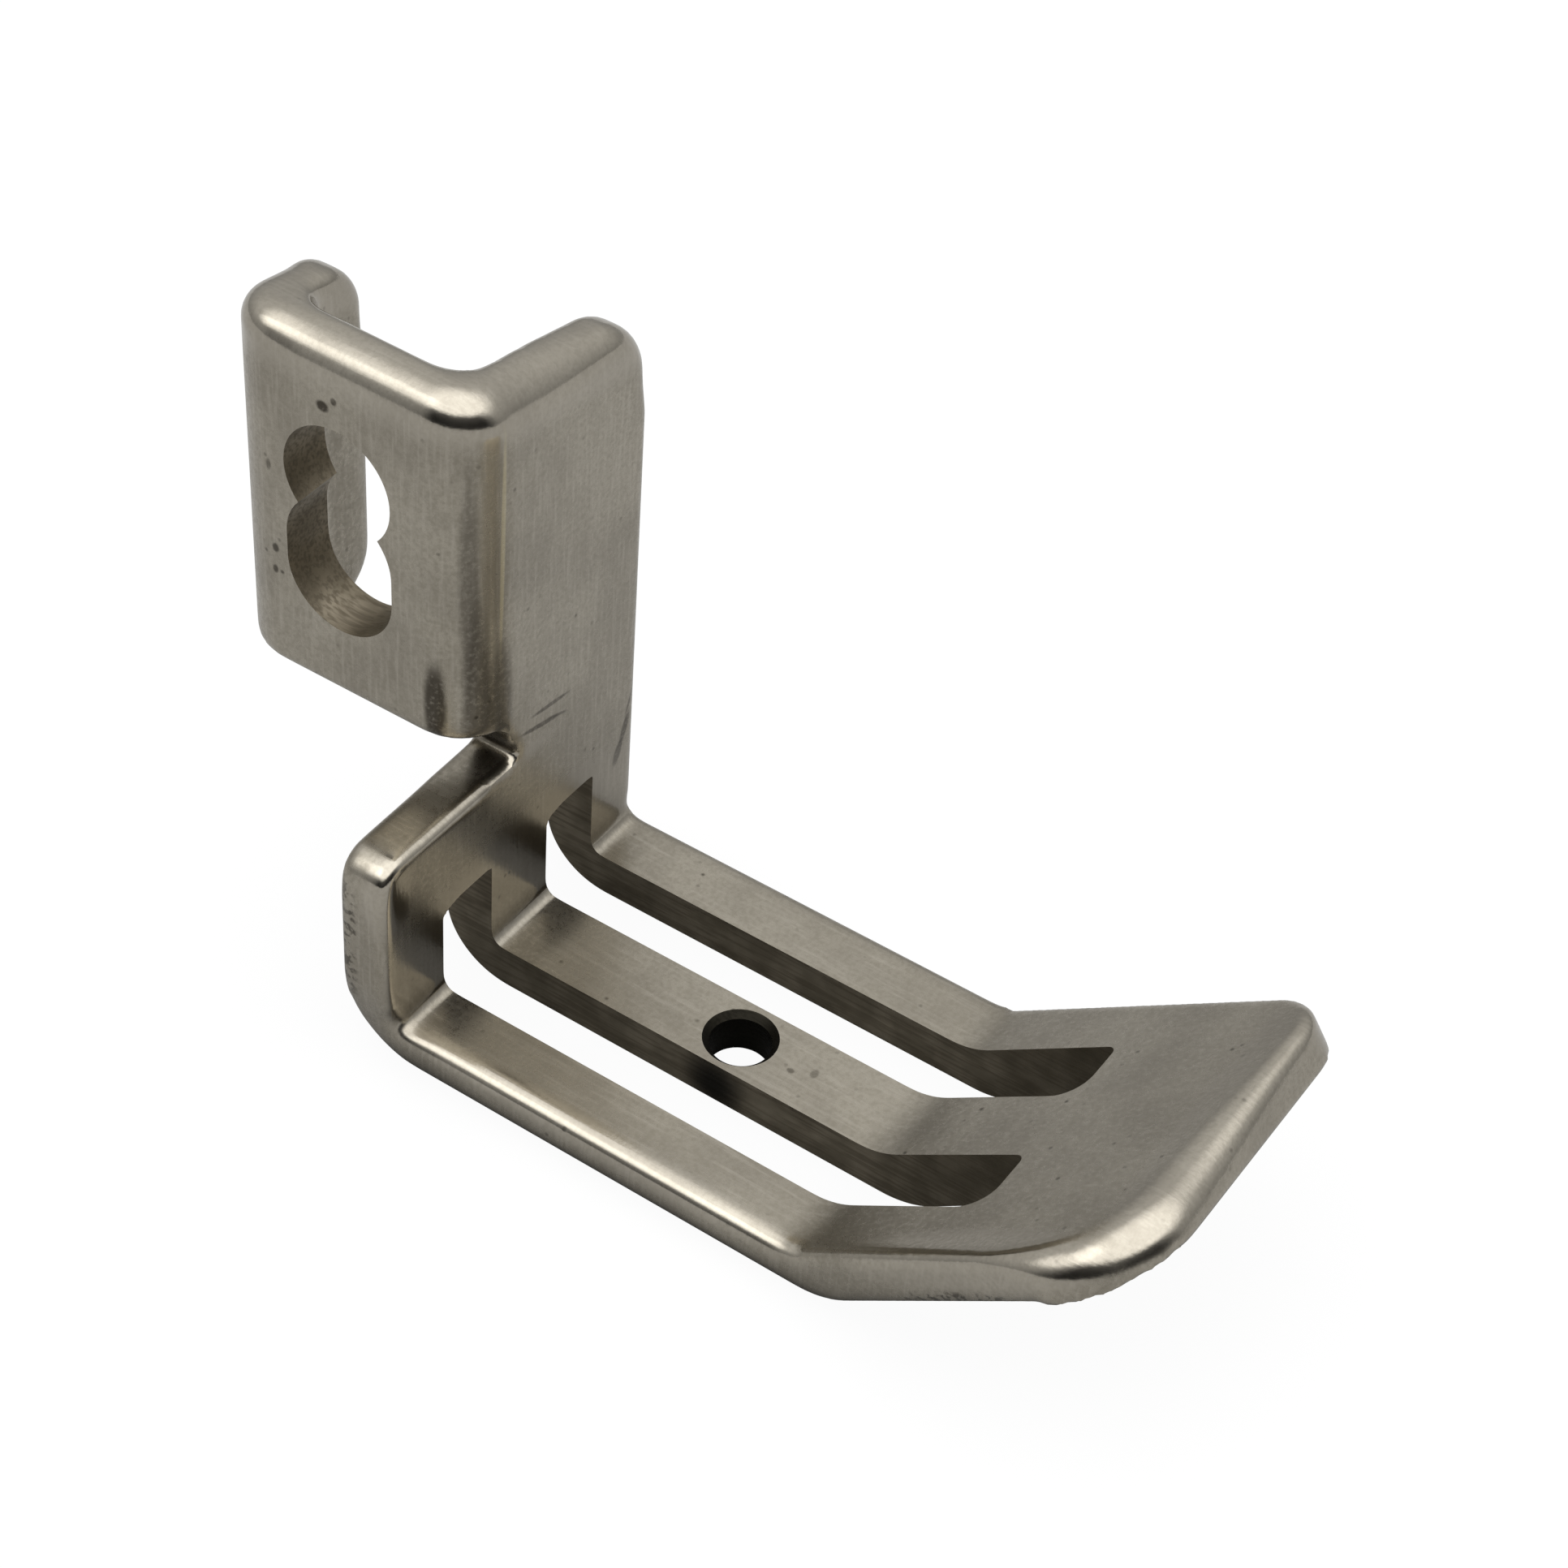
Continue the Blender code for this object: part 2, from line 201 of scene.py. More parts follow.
def soften(piece, radius_of):
    """Round each sharp edge by radius_of(middle, normals of its two faces), in millimetres."""
    mesh = take(piece)
    radii = []
    for edge in mesh.edges:
        middle = (edge.verts[0].co + edge.verts[1].co) / 2
        sharp = edge.calc_face_angle(0) > SHARP
        radii.append(radius_of(middle, [face.normal for face in edge.link_faces]) if sharp else 0.0)
    mesh.free()
    weights = piece.data.attributes.new("bevel_weight_edge", "FLOAT", "EDGE")
    weights.data.foreach_set("value", [radius / max(radii) for radius in radii])
    bevel = piece.modifiers.new("tumbled", "BEVEL")
    bevel.limit_method = "WEIGHT"
    bevel.offset_type = "OFFSET"
    bevel.width = max(radii)
    bevel.segments = 6
    bevel.profile = 0.5
    bevel.use_clamp_overlap = False
    settle(piece)
    print(piece.name, "has", len(piece.data.polygons), "faces, radii up to", max(radii), "mm")


# %% [markdown]
# ## The sole
#
# Toe, tines and the bend into the heel are one strip of even thickness, so one outline drawn from the side
# makes them all. Its corners are the creases. The toe's two free corners were ground by hand and are not
# alike: 4.2 mm on the near side, 2.2 mm on the far side.

# %% Sole, drawn from the side
STRIP_TOP = 5.0              # the strip ends here, inside the heel plate
HEEL_BEND = (0.5, 2.9)       # radius above and below, where the sole turns up into the heel
TOE_BEND = (2.4, 3.0)        # and where it turns up into the toe
NEAR_CORNER = 4.2            # the toe's two free corners
FAR_CORNER = 2.2
tip_below = TIP - SOLE * OUT
sole = block("sole", [(0, STRIP_TOP), (0, SOLE), (-TINES, SOLE), tuple(TIP.yz), tuple(tip_below.yz),
                      (-BELLY, 0), (WALL, 0), (WALL, STRIP_TOP)],
             FROM_SIDE, -HALF, 2 * HALF,
             {1: HEEL_BEND[0], 2: TOE_BEND[0], 5: TOE_BEND[1], 6: HEEL_BEND[1]})


def round_toe(piece, side, radius):
    """Round one free corner of the toe."""
    mesh = take(piece)
    corner = [edge for edge in mesh.edges
              if abs((edge.verts[1].co - edge.verts[0].co).normalized().dot(OUT)) > 0.999
              and edge.verts[0].co.y < -BELLY and edge.verts[0].co.x * side > 0]
    bmesh.ops.bevel(mesh, geom=corner, offset=radius, offset_type="OFFSET", segments=28, profile=0.5,
                    affect="EDGES", material=-1)
    put_back(mesh, piece)


round_toe(sole, -1, NEAR_CORNER)
round_toe(sole, 1, FAR_CORNER)
print("sole strip", [round(side, 2) for side in sole.dimensions], "mm")

# %% [markdown]
# The tumbler took more off the sole's near edges than off the far ones, and most off the near tine, where
# the cloth is pushed past. Edges inside the heel keep a radius of 0, so they stay sharp for the join.

# %% Edges of the sole
def blend(value, start, end):
    """0 at start, 1 at end, with a smooth run between."""
    t = min(max((value - start) / (end - start), 0.0), 1.0)
    return t * t * (3 - 2 * t)


def sole_radius(middle, normals):
    """The radius of one of the sole's edges, from where it lies and which way its faces look."""
    if middle.z > STRIP_TOP - CLOSE:
        return 0.0                                # hidden inside the heel
    near = middle.x < 0
    upper = max(normal.z for normal in normals) > 0.7
    if upper and near and middle.y > -TINES:
        return 0.7                                # the near tine, rounded by years of cloth
    if upper:
        return EDGE if near else 0.3
    return 0.6                                    # underneath, where the foot slides


soften(sole, sole_radius)

# %% [markdown]
# ## The heel
#
# The heel is a plate drawn from the front. It is as wide as the sole up to the shoulder; from there only
# its far part goes on, as the shank that carries the clamp. The notch beside the shoulder leans out a
# little on the way up.

# %% Heel plate, drawn from the front
HEEL_LOW = 2.9               # the plate starts here, inside the sole's bend
HEEL_TOP = 14                # and ends here, inside the clamp's front wall
SHOULDER_CORNER = 1.05
heel = block("heel", [(HALF, HEEL_LOW), (HALF, HEEL_TOP), (-NOTCH_LEAN, HEEL_TOP), (-NOTCH_LEAN, CLAMP_LOW),
                      (0, SHOULDER), (-HALF, SHOULDER), (-HALF, HEEL_LOW)],
             FROM_FRONT, 0, WALL, {5: SHOULDER_CORNER})


def heel_radius(middle, normals):
    """The radius of one of the heel's edges: only the shoulder's and the shank's are in the open."""
    if max(abs(normal.y) for normal in normals) < 0.9:
        return 0.0                                # an edge across the plate's thickness
    if middle.x < -CLOSE and HEEL_LOW + CLOSE < middle.z < SHOULDER + CLOSE:
        return 0.3 if middle.y < CLOSE else 0.35
    return EDGE if middle.x > HALF - CLOSE else 0.0


soften(heel, heel_radius)

# %% [markdown]
# ## The clamp
#
# Seen from above the clamp is a U. Extruding that outline gives three walls at once. Its rim isn't level:
# it drops towards the open side, so the top ring of points is sheared before the corners are rounded.

# %% Clamp, drawn from above
BACK = BAR_GAP + 2 * WALL    # outer face of the rear wall
INSIDE = CLAMP_LEFT + WALL   # inner face of the side wall
CORNER = 2.3                 # the upright corners outside
INNER_CORNER = 1.2           # and inside
clamp = block("clamp", [(HALF, 0), (CLAMP_LEFT, 0), (CLAMP_LEFT, BACK), (REAR_END, BACK),
                        (REAR_END, BACK - WALL), (INSIDE, BACK - WALL), (INSIDE, WALL), (HALF, WALL)],
              FROM_ABOVE, CLAMP_LOW, CLAMP_TOP - CLAMP_LOW,
              {1: CORNER, 2: CORNER, 5: INNER_CORNER, 6: INNER_CORNER})
print("clamp walls", [round(side, 2) for side in clamp.dimensions], "mm")

# %% Tilt the rim and round the free ends
FRONT_TURN = 2.3             # the front wall's free top corner
REAR_TURN = 1.9              # the rear wall's
REAR_LOW_TURN = 2.1          # and the one below it


def shape_clamp(piece):
    """Tilt the rim, then round the free ends of both walls."""
    mesh = take(piece)
    for vert in mesh.verts:
        if vert.co.z > CLAMP_LOW + 1:
            vert.co.z += RIM_RISE * vert.co.y - RIM_FALL * (vert.co.x - CLAMP_LEFT)

    def end_edges(x, high):
        return [edge for edge in mesh.edges
                if all(abs(vert.co.x - x) < CLOSE and (vert.co.z > CLAMP_LOW + 1) == high
                       for vert in edge.verts)]

    for x, high, radius in ((HALF, True, FRONT_TURN), (REAR_END, True, REAR_TURN),
                            (REAR_END, False, REAR_LOW_TURN)):
        bmesh.ops.bevel(mesh, geom=end_edges(x, high), offset=radius, offset_type="OFFSET", segments=10,
                        profile=0.5, affect="EDGES", material=-1)
    put_back(mesh, piece)


shape_clamp(clamp)
soften(clamp, lambda middle, normals: EDGE)

# %% [markdown]
# ## The casting
#
# The three blocks become one solid. A Boolean with the EXACT solver joins them; the tools go into one
# collection, so there is one join and no half-finished surface in between.

# %% Join the blank
def combine(piece, name, tools, operation):
    """Join or cut with a set of tools, then throw the tools away."""
    group = bpy.data.collections.new(name)
    bpy.context.scene.collection.children.link(group)
    for tool in tools:
        bpy.context.scene.collection.objects.unlink(tool)
        group.objects.link(tool)
    boolean = piece.modifiers.new(name, "BOOLEAN")
    boolean.operation = operation
    boolean.solver = "EXACT"
    boolean.operand_type = "COLLECTION"
    boolean.collection = group
    boolean.material_mode = "TRANSFER"
    settle(piece)
    for tool in tools:
        bpy.data.objects.remove(tool, do_unlink=True)
    bpy.data.collections.remove(group)
    print(name, "->", len(piece.data.polygons), "faces")


combine(sole, "blank", [heel, clamp], "UNION")
foot = sole
foot.name = "nickel_presser_foot"

# %% [markdown]
# ## Tumbling
#
# So far the blocks meet in hard seams. On the casting they flow into each other. A voxel remesh does what
# the tumbler does: it rebuilds the skin on a fine grid and loses anything sharper than the grid. A few
# rounds of `smooth_vert` then take out the grid's own pattern.

# %% Remesh and smooth
GRAIN = 0.19                 # grid size


def smooth(mesh):
    """Move every point halfway to the middle of its neighbours."""
    bmesh.ops.smooth_vert(mesh, verts=mesh.verts, factor=0.5, use_axis_x=True, use_axis_y=True,
                          use_axis_z=True)


def tumble(piece, rounds):
    """Rebuild the skin on a grid, then smooth the grid away."""
    remesh = piece.modifiers.new("tumble", "REMESH")
    remesh.mode = "VOXEL"
    remesh.voxel_size = GRAIN
    settle(piece)
    mesh = take(piece)
    for _ in range(rounds):
        smooth(mesh)
    put_back(mesh, piece)
    print(piece.name, "skin of", len(piece.data.polygons), "faces")


tumble(foot, 4)

# %% [markdown]
# ## The rim, the toe and the bulge
#
# Some roundings change their radius on the way, which a bevel can't do on a flat face. They are made by
# moving the skin's points, as a file and a hammer would. A point that lies outside a circle of the wanted
# radius is drawn in to that circle: that files the clamp's outer rim and the toe's tip round. And where the
# sole was bent up into the heel, the metal on the near side was pushed outwards, most at the heel and
# fading into the sole.

# %% The file
def into_corner(first, second, radius):
    """Depth inside an outline with one round corner, and the way in, from the depths behind its sides."""
    if first < radius and second < radius:
        way = Vector((radius - first, radius - second))
        return radius - way.length, way.normalized()
    return (first, Vector((1, 0))) if first < second else (second, Vector((0, 1)))


def file_off(first, second, radius):
    """How far to draw a point in along both depths, so that it lies on a circle of this radius."""
    reach = Vector((radius - first, radius - second))
    if min(reach) < 0 or reach.length <= radius:
        return Vector((0, 0))
    return reach - reach.normalized() * radius


print("a square corner filed to 1 mm loses", round(file_off(0, 0, 1).length, 2), "mm")

# %% The rim
RIM = 1.65                   # the rim's radius along the side wall
FREE = INSIDE + INNER_CORNER     # past this x, front and rear wall run straight to their free ends


def file_rim(spot):
    """File the clamp's rim: its outer edge all round, and its inner edge towards the free ends."""
    front = spot.y < BACK / 2
    end, turn = (HALF, FRONT_TURN) if front else (REAR_END, REAR_TURN)
    back = 1 if front else -1                     # the way from a wall's outer face to its inner face
    from_face = spot.y if front else BACK - spot.y
    top = CLAMP_TOP + RIM_RISE * spot.y - RIM_FALL * (spot.x - CLAMP_LEFT)
    below, down = into_corner(end - spot.x, top - spot.z, turn)
    down = Vector((-down.x, 0, -down.y))
    depth, inwards = into_corner(spot.x - CLAMP_LEFT, from_face, CORNER)
    inwards = Vector((inwards.x, back * inwards.y, 0))
    near_end = blend(spot.x, FREE, end - 1.0)
    near_top = blend(spot.z, top - 5.0, top - 2.0)
    rear = blend(spot.y, BACK - 4.0, BACK - 1.0)
    radius = RIM - (0.7 * near_end if front else 0.45 * rear + 0.3 * near_end)     # less at the free ends
    move = file_off(depth, below, EDGE + (radius - EDGE) * near_top)
    spot = spot + inwards * move.x + down * move.y
    if spot.x > FREE:
        move = file_off(WALL - from_face, below, EDGE + 0.3 * near_end * near_top)
        spot = spot + Vector((0, -back * move.x, 0)) + down * move.y
    return spot


print("rim radius", RIM, "mm, from", round(CLAMP_TOP, 2), "mm up on the side wall to",
      round(CLAMP_TOP - RIM_FALL * (HALF - CLAMP_LEFT), 2), "mm at the open side")


# %% The toe and the bulge
TOE_ROUND = 1.35             # the toe's radius at its near corner
TOE_LESS = 0.9               # and how much less it is at the far one
BULGE = -HALF - LOW.x        # how far the heel stands out past the sole


def file_toe(spot):
    """File the toe along its sides and tip, most at the tip."""
    off = spot - CREASE
    along, below = off.dot(SLOPE), -off.dot(OUT)
    near = spot.x < 0
    depth, way = into_corner(HALF - abs(spot.x), TOE - along, NEAR_CORNER if near else FAR_CORNER)
    full = TOE_ROUND - TOE_LESS * blend(spot.x, -5.0, 6.0)
    move = file_off(depth, below, EDGE + (full - EDGE) * blend(along, TOE - 6.0, TOE - 2.5))
    if along < 0:
        return spot
    return spot + move.x * (Vector((way.x if near else -way.x, 0, 0)) - way.y * SLOPE) - move.y * OUT


def push_bulge(spot):
    """Push a point of the heel's near side outwards."""
    push = blend(spot.x, -5.1, -HALF) * blend(spot.z, 0.2, 4.5) * blend(spot.y, -2.2, 0.4)
    push *= 1 - 0.25 * blend(spot.z, 8.0, SHOULDER)
    return spot - Vector((BULGE * push, 0, 0))


mesh = take(foot)
for vert in mesh.verts:
    if vert.co.z > CLAMP_LOW + 2:
        vert.co = file_rim(vert.co)
    elif vert.co.y < -TINES:
        vert.co = file_toe(vert.co)
    else:
        vert.co = push_bulge(vert.co)
smooth(mesh)
put_back(mesh, foot)
print("toe filed to", TOE_ROUND, "mm at its near corner, bulge of", round(BULGE, 2), "mm")

# %% [markdown]
# ## Milling
#
# The needle slots, the screw opening and the small hole are cut last, so their walls meet the soft outer
# skin in crisp edges, as on the real foot. The cutters are simple blocks and cylinders.

# %% Slot cutters
PAST = 3.0                   # a cutter runs this far past the metal
SLOT_HIGH = 5.9              # the slot's end in the heel
SLOT_RUN = 6.95              # the slot's end on the toe
SLOT_ENDS = ((-1, 1.25), (1, 0.42))      # near side and far side, with the end's radius there


def slot_cutter(middle_x):
    """One slot through heel, tines and toe. Its ends have a round corner and a tight one."""
    stop = CREASE + SLOT_RUN * SLOPE
    above = stop + PAST * OUT
    below = stop - (SOLE + PAST) * OUT
    cutter = block("slot", [(WALL + PAST, -PAST), (WALL + PAST, SLOT_HIGH), (-PAST, SLOT_HIGH),
                            tuple(above.yz), tuple(below.yz), (-TINES, -PAST)],
                   FROM_SIDE, middle_x - SLOT / 2, SLOT)
    mesh = take(cutter)

    def end_lines(side):
        found = []
        for edge in mesh.edges:
            run = (edge.verts[1].co - edge.verts[0].co).normalized()
            place = edge.verts[0].co
            heel_end = abs(run.y) > 0.999 and place.z > 0
            toe_end = abs(run.dot(OUT)) > 0.999 and place.y < -TINES
            if (place.x - middle_x) * side > 0 and (heel_end or toe_end):
                found.append(edge)
        return found

    for side, radius in SLOT_ENDS:
        bmesh.ops.bevel(mesh, geom=end_lines(side), offset=radius, offset_type="OFFSET", segments=8,
                        profile=0.5, affect="EDGES", material=-1)
    put_back(mesh, cutter)
    return cutter


cutters = [slot_cutter(-GAUGE / 2), slot_cutter(GAUGE / 2)]
print(len(cutters), "slot cutters,", SLOT, "mm wide")

# %% Screw opening and small hole
ROUND = 72                   # sides of a round cutter


def round_cutter(name, radius, depth, turn, place):
    """A cylinder from a circle, extruded, turned and put in its place."""
    mesh = bmesh.new()
    bmesh.ops.create_circle(mesh, cap_ends=True, segments=ROUND, radius=radius)
    pushed = bmesh.ops.extrude_face_region(mesh, geom=list(mesh.faces))
    moved = [item for item in pushed["geom"] if isinstance(item, bmesh.types.BMVert)]
    bmesh.ops.translate(mesh, verts=moved, vec=(0, 0, depth))
    bmesh.ops.transform(mesh, matrix=Matrix.Translation(place) @ turn, verts=mesh.verts)
    return add_object(name, mesh)


SIDEWAYS = Matrix.Rotation(math.pi / 2, 4, "Y")
UPRIGHT = Matrix.Identity(4)
through = WALL + 2 * PAST
for middle_z in LOBES:
    cutters.append(round_cutter("lobe", LOBE, through, SIDEWAYS, (CLAMP_LEFT - PAST, LOBE_Y, middle_z)))
cutters.append(block("lobe_waist", [(LOBE_Y - LOBE, LOBES[0]), (LOBE_Y + LOBE, LOBES[0]),
                                    (LOBE_Y + LOBE, LOBES[1]), (LOBE_Y - LOBE, LOBES[1])],
                     FROM_SIDE, CLAMP_LEFT - PAST, through))
cutters.append(round_cutter("hole", HOLE, SOLE + 2 * PAST, UPRIGHT, (0, HOLE_Y, -PAST)))

SINK = 0.26                  # the hole's chamfer
mesh = bmesh.new()
bmesh.ops.create_cone(mesh, cap_ends=True, segments=ROUND, radius1=HOLE, radius2=HOLE + 2 * SINK,
                      depth=2 * SINK)
bmesh.ops.translate(mesh, verts=mesh.verts, vec=(0, HOLE_Y, SOLE))
cutters.append(add_object("countersink", mesh))
for cutter in cutters:
    cutter.data.materials.append(milled)

foot.data.materials.clear()                       # the empty slots that the union left
foot.data.materials.append(nickel)
combine(foot, "milled", cutters, "DIFFERENCE")

# %% [markdown]
# ## Breaking the arrises
#
# A milled edge is never quite sharp: a light pass with a file leaves a thin facet, which shows as a bright
# line. All edges that are still sharp are milled edges, so they are picked by angle and bevelled. A bevel
# can't be wider than the small faces beside it, so points that lie close to an edge are first merged into
# it. The faces left there are still so small that the facets come out about a micrometre wide. That is too
# thin to see, but it parts the shading of the outside from that of the milled walls.

# %% Break the edges and move the foot into the frame
BREAK = 0.08                 # how far the facet may reach on either side


def break_edges(piece, slot):
    """Bevel every sharp edge once, and give the facets a material slot."""
    mesh = take(piece)

    def is_sharp(edge):
        return edge.calc_face_angle(0) > SHARP

    # points are listed in the mesh's own order, not in a set's, which changes from run to run
    bmesh.ops.remove_doubles(mesh, verts=[vert for vert in mesh.verts if any(map(is_sharp, vert.link_edges))],
                             dist=0.6 * BREAK)
    sharp = [vert for vert in mesh.verts if any(map(is_sharp, vert.link_edges))]
    on_edge = set(sharp)
    close_by = [vert for vert in mesh.verts
                if vert in on_edge or any(edge.other_vert(vert) in on_edge for edge in vert.link_edges)]
    doubles = bmesh.ops.find_doubles(mesh, verts=close_by, keep_verts=sharp, dist=1.7 * BREAK)
    bmesh.ops.weld_verts(mesh, targetmap=doubles["targetmap"])
    bmesh.ops.dissolve_degenerate(mesh, edges=mesh.edges, dist=0.2 * BREAK)
    edges = [edge for edge in mesh.edges if is_sharp(edge)]
    length = sum(edge.calc_length() for edge in edges)
    bevelled = bmesh.ops.bevel(mesh, geom=edges, offset=BREAK, offset_type="OFFSET", segments=1,
                               profile=0.5, affect="EDGES", clamp_overlap=True, material=-1)
    for face in bevelled["faces"]:
        face.material_index = slot
    width = sum(face.calc_area() for face in bevelled["faces"]) / length
    print(len(edges), "milled edges broken, facets", round(width, 3), "mm wide")
    return mesh


# the facets take the painted glint
foot.data.materials.append(arris_glint)
arris_slot = len(foot.data.materials) - 1
mesh = break_edges(foot, arris_slot)
bmesh.ops.translate(mesh, verts=mesh.verts, vec=(0, HEEL_Y, 0))
bmesh.ops.scale(mesh, verts=mesh.verts, vec=(MM, MM, MM))
bmesh.ops.recalc_face_normals(mesh, faces=mesh.faces)
for face in mesh.faces:
    face.smooth = face.material_index != arris_slot
put_back(mesh, foot)
shading = foot.modifiers.new("even_shading", "WEIGHTED_NORMAL")
shading.keep_sharp = True                         # big faces decide, so milled walls look flat
settle(foot)
print("foot now", [round(side / MM, 2) for side in foot.dimensions], "mm")

# %% [markdown]
# ## Nickel plate
#
# Satin nickel over steel is a warm grey metal with a soft gloss. Three things keep it from looking like
# plastic: a fine grain left by the tumbling stones, a slow mottling where the plate is thicker or thinner,
# and polish wherever it gets rubbed. Colours are sRGB codes, turned to linear by one function. One other
# function adds every node: names in small letters are the node's settings, the rest are its inputs. Some
# inputs share a name and go by number. In a Mix node, 0 is the amount; 2 and 3 are the two numbers that it
# mixes, and 6 and 7 the two colours.

# %% Colours and nodes
def linear(code):
    """An sRGB hex colour as the linear values that shaders use."""
    parts = [int(code[i:i + 2], 16) / 255 for i in (1, 3, 5)]
    return [p / 12.92 if p <= 0.04045 else ((p + 0.055) / 1.055) ** 2.4 for p in parts] + [1.0]


def add_node(tree, kind, out=0, **values):
    """Add a node and return one of its outputs. An input is named, or numbered as _0, _1 and so on."""
    node = tree.nodes.new("ShaderNode" + kind)
    for name, value in values.items():
        if name[0].islower():
            setattr(node, name, value)
            continue
        socket = node.inputs[int(name[1:])] if name[0] == "_" else node.inputs[name.replace("_", " ")]
        if isinstance(value, bpy.types.NodeSocket):
            tree.links.new(value, socket)
        else:
            socket.default_value = value
    return node.outputs[out] if len(node.outputs) else node


def start(material):
    """Empty a material and return a short way to add nodes to it."""
    material.use_nodes = True
    material.node_tree.nodes.clear()
    return partial(add_node, material.node_tree)


def per_mm(size):
    """The scale that makes a pattern repeat about every so many millimetres."""
    return 1 / (size * MM)


NICKEL = "#948E82"
print("nickel base colour", [round(c, 3) for c in linear(NICKEL)])

# %% [markdown]
# ## Patterns in millimetres
#
# All patterns read Object coordinates, which for this piece are real metres in the frame. A local mark,
# such as a scratch or a stain, is a soft ball: a Mapping node shrinks and turns space so that the mark
# becomes a ball of radius 1, and a spherical gradient fades it out.

# %% Local marks
def mark(new, place, centre, radii, turn=(0, 0, 0), strength=1.0, firm=0.5):
    """A mark measured in millimetres from the heel: `strength` in its middle and 0 outside."""
    ball = new("Mapping", vector_type="TEXTURE", Vector=place, Rotation=[math.radians(a) for a in turn],
               Location=[c * MM for c in (centre[0], centre[1] + HEEL_Y, centre[2])],
               Scale=[radius * MM for radius in radii])
    ball = new("TexGradient", out="Fac", gradient_type="SPHERICAL", Vector=ball)
    return new("MapRange", interpolation_type="SMOOTHSTEP", Value=ball, From_Max=firm, To_Max=strength)


LEAN = -math.degrees(TOE_ANGLE)                   # marks on the toe lean with it
# Real stains and pits, with painted shade and a painted dark reflection among them
STAINS_AND_PAINTED_SHADE = [                   # centre, radii, turn, strength
    ((-2.9, 1.75, 13.7), (0.5, 0.62, 2.6), (0, 0, 0), 0.85),        # dark smear low on the side wall
    ((-2.1, 0.35, 13.6), (0.8, 0.75, 6.5), (0, 0, 0), 0.62),        # painted dark reflection up the clamp's front corner
    ((-1.2, -0.05, 13.4), (0.8, 0.5, 4.5), (0, 0, 0), 0.55),
    ((-2.4, 0.55, 19.5), (0.6, 0.55, 7.0), (0, 0, 0), 0.45),
    ((-2.9, 6.5, 24.9), (0.4, 0.36, 0.3), (0, 0, 0), 0.9),          # pits round the screw opening
    ((-2.9, 6.0, 25.3), (0.4, 0.18, 0.2), (0, 0, 0), 0.8),
    ((-2.9, 8.95, 17.5), (0.4, 0.2, 0.26), (0, 0, 0), 0.8),
    ((-2.9, 9.0, 16.5), (0.4, 0.16, 0.24), (0, 0, 0), 0.8),
    ((-2.9, 9.1, 21.2), (0.4, 0.14, 0.34), (0, 0, 0), 0.6),
    ((-0.25, -12.8, 1.85), (0.16, 0.2, 0.3), (0, 0, 0), 0.55),      # specks on the middle tine
    ((0.15, -13.6, 1.85), (0.3, 0.2, 0.3), (0, 0, 0), 0.45),
    ((-0.5, 1.3, 11.2), (1.3, 1.6, 1.1), (0, 0, 0), 1.0),           # painted shade in the notch
    ((0.0, -0.9, 1.9), (9.0, 1.6, 0.8), (0, 0, 0), 0.28),           # painted shade along the heel's crease
]
SCRATCHES = [
    ((1.8, 0.0, 11.55), (1.5, 0.3, 0.13), (0, 8, 0), 0.65),         # across the shank
    ((1.2, 0.0, 10.95), (1.6, 0.3, 0.15), (0, 14, 0), 0.7),
    ((2.2, 0.0, 10.75), (0.9, 0.3, 0.09), (0, 20, 0), 0.5),
    ((6.7, 0.0, 6.9), (0.24, 0.4, 1.0), (0, 20, 0), 0.7),           # down the heel's far edge
    ((6.3, 0.0, 5.9), (0.3, 0.4, 0.8), (0, 20, 0), 0.75),
    ((7.0, 0.0, 8.2), (0.1, 0.4, 0.9), (0, 22, 0), 0.6),
]
RUBBED = [                   # where cloth and fingers keep the plate bright
    ((-HALF + 0.3, -9.5, SOLE - 0.2), (1.0, 12.0, 0.9), (0, 0, 0), 1.0),     # near tine's outer edge
    ((-HALF, 0.3, 8.8), (1.5, 1.0, 2.8), (0, 0, 0), 1.0),                    # shoulder's corner
    ((-2.6, 0.1, SHOULDER), (6.0, 0.55, 0.8), (0, 0, 0), 0.7),               # shoulder's front edge
    ((-HALF + 0.6, -25.0, 6.4), (1.6, 8.5, 1.2), (LEAN, 0, 0), 1.0),         # toe's near edge
    ((0.0, -29.2, 9.7), (12.0, 1.9, 1.9), (0, 0, 0), 1.0),                   # toe's tip
    ((0.0, 0.0, 3.6), (11.0, 0.8, 4.6), (0, 0, 0), 0.8),                     # heel, above the tines
]
PAINTED_HIGHLIGHT_LINE = ((-1.1, 0.0, 21.0), (0.13, 0.5, 6.0), (0, 0.8, 0), 0.4)          # painted highlight line down the clamp's front corner
SPECKLED_TOE = ((-7.6, -24.2, 4.3), (1.2, 3.4, 0.5), (LEAN, 0, 0))           # dirt low on the near side
SPECKLED_HEEL = ((-8.0, 1.7, 6.2), (0.9, 0.6, 4.0))
print(len(STAINS_AND_PAINTED_SHADE), "stains,", len(SCRATCHES), "scratches,", len(RUBBED), "rubbed places")

# %% [markdown]
# ## The plated outside
#
# Layers go on in this order: plate with its mottling and grain, then tarnish and painted shade in the
# corners, stains and scratches, painted shade in the notch and along the heel's crease, a painted dark
# reflection up the clamp's front corner, a painted highlight line down it, and last the polish that use
# gives to edges. Polish also lowers the roughness, and that is what draws crisp bright and dark lines
# along the rim.

# %% Tumbled nickel
new = start(nickel)
place = new("TexCoord", out="Object")
normal = new("NewGeometry", out="Normal")
upward = new("VectorMath", out="Value", operation="DOT_PRODUCT", _0=normal, _1=(0, 0, 1))
upright = new("MapRange", Value=new("Math", operation="ABSOLUTE", _0=upward), From_Min=0.35, From_Max=0.65,
              To_Min=1.0, To_Max=0.0)

